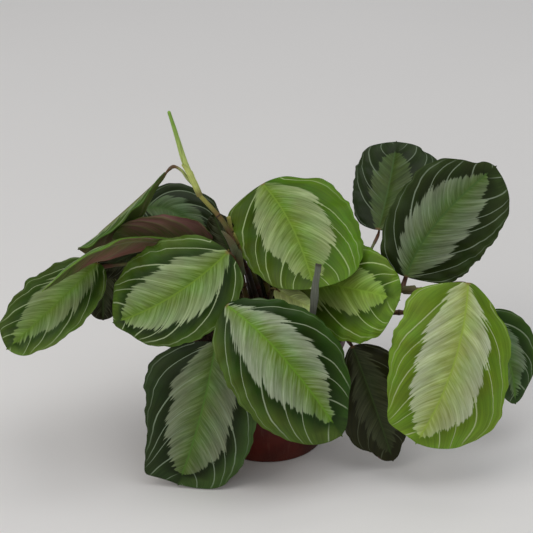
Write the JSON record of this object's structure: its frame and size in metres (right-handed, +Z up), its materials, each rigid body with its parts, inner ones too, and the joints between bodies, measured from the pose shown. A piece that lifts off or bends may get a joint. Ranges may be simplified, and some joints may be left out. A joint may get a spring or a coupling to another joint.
{
  "type": "potted prayer plant",
  "caption": "Small potted foliage plant: broad oval patterned leaves on thin stalks, branching stems, a rolled new leaf and a flat stake, in a tapered plastic nursery pot.",
  "frame": {"origin": "centre of the pot's foot, on the surface it stands on", "axes": "+Z up, -Y towards the plant's front, +X to the right seen from the front"},
  "size_m": [0.4051, 0.2165, 0.2762],
  "materials": {
    "pot": "matt brown moulded plastic",
    "soil": "moist peat and bark mix",
    "stake": "weathered grey",
    "stem": "dark brown, slightly rough",
    "petiole": "satin brown green",
    "sheath": "thin, pale yellow green",
    "new_leaf": "satin fresh green",
    "leaf_bright": "satin, green with a silver centre and dark zones",
    "leaf_dark": "satin, deep green with a silver centre",
    "leaf_purple": "matt purple brown underside"
  },
  "bodies": {
    "root": {"pot": "pot", "soil": "soil", "stake": "stake", "stem_left": "stem", "stem_right": "stem", "stem_low": "stem", "sheath": "sheath", "rolled_leaf": "new_leaf", "leaf_front_right": "leaf_bright", "stalk_front_right": "petiole", "leaf_front_left": "leaf_dark", "stalk_front_left": "petiole", "leaf_front_centre": "leaf_bright", "stalk_front_centre": "petiole", "leaf_top_right": "leaf_dark", "stalk_top_right": "petiole", "leaf_top_centre": "leaf_bright", "stalk_top_centre": "petiole", "leaf_centre_left": "leaf_bright", "stalk_centre_left": "petiole", "leaf_centre_right": "leaf_bright", "stalk_centre_right": "petiole", "leaf_far_left": "leaf_dark", "stalk_far_left": "petiole", "leaf_back_right": "leaf_dark", "stalk_back_right": "petiole", "leaf_low_right": "leaf_dark", "stalk_low_right": "petiole", "leaf_back_left": "leaf_dark", "stalk_back_left": "petiole", "leaf_far_right": "leaf_dark", "stalk_far_right": "petiole", "leaf_arched": "leaf_purple", "stalk_arched": "petiole", "leaf_edge_upper": "leaf_purple", "stalk_edge_upper": "petiole", "leaf_edge_lower": "leaf_purple", "stalk_edge_lower": "petiole", "leaf_small_left": "leaf_dark", "stalk_small_left": "petiole"}
  },
  "joints": []
}
